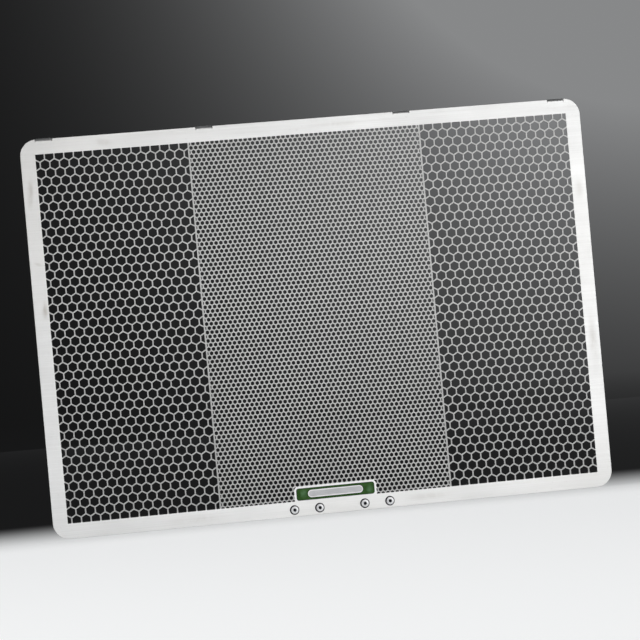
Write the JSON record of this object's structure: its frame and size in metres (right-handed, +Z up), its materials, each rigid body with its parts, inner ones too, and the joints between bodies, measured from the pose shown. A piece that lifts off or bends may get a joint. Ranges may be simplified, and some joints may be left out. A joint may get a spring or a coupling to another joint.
{
  "type": "motorcycle radiator guard",
  "caption": "Upright etched stainless sheet with a honeycomb mesh, folded top tabs that hook over a radiator, and riveted lower brackets that are bolted to it.",
  "frame": {"origin": "middle of the two bolt holes in the lower brackets, on the underside of their flanges", "axes": "+X across the guard's width to the right as seen from the front, +Y from the sheet back towards the radiator, +Z up along the sheet"},
  "size_m": [0.3865, 0.0279, 0.2659],
  "materials": {
    "stainless_sheet": "fine brushed stainless, nearly white, etched through",
    "green_enamel": "glossy green enamel, darker along its edge",
    "bracket_steel": "mill-finish stainless sheet, folded",
    "rivet_alloy": "smooth bright domed head",
    "mandrel_steel": "dull dark steel with a broken end"
  },
  "bodies": {
    "root": {"guard_plate": "stainless_sheet", "emblem_enamel": "green_enamel", "bracket_left": "bracket_steel", "bracket_right": "bracket_steel", "rivet_left_outer": "rivet_alloy", "rivet_left_inner": "rivet_alloy", "rivet_right_inner": "rivet_alloy", "rivet_right_outer": "rivet_alloy", "mandrel_left_outer": "mandrel_steel", "mandrel_left_inner": "mandrel_steel", "mandrel_right_inner": "mandrel_steel", "mandrel_right_outer": "mandrel_steel"}
  },
  "joints": []
}
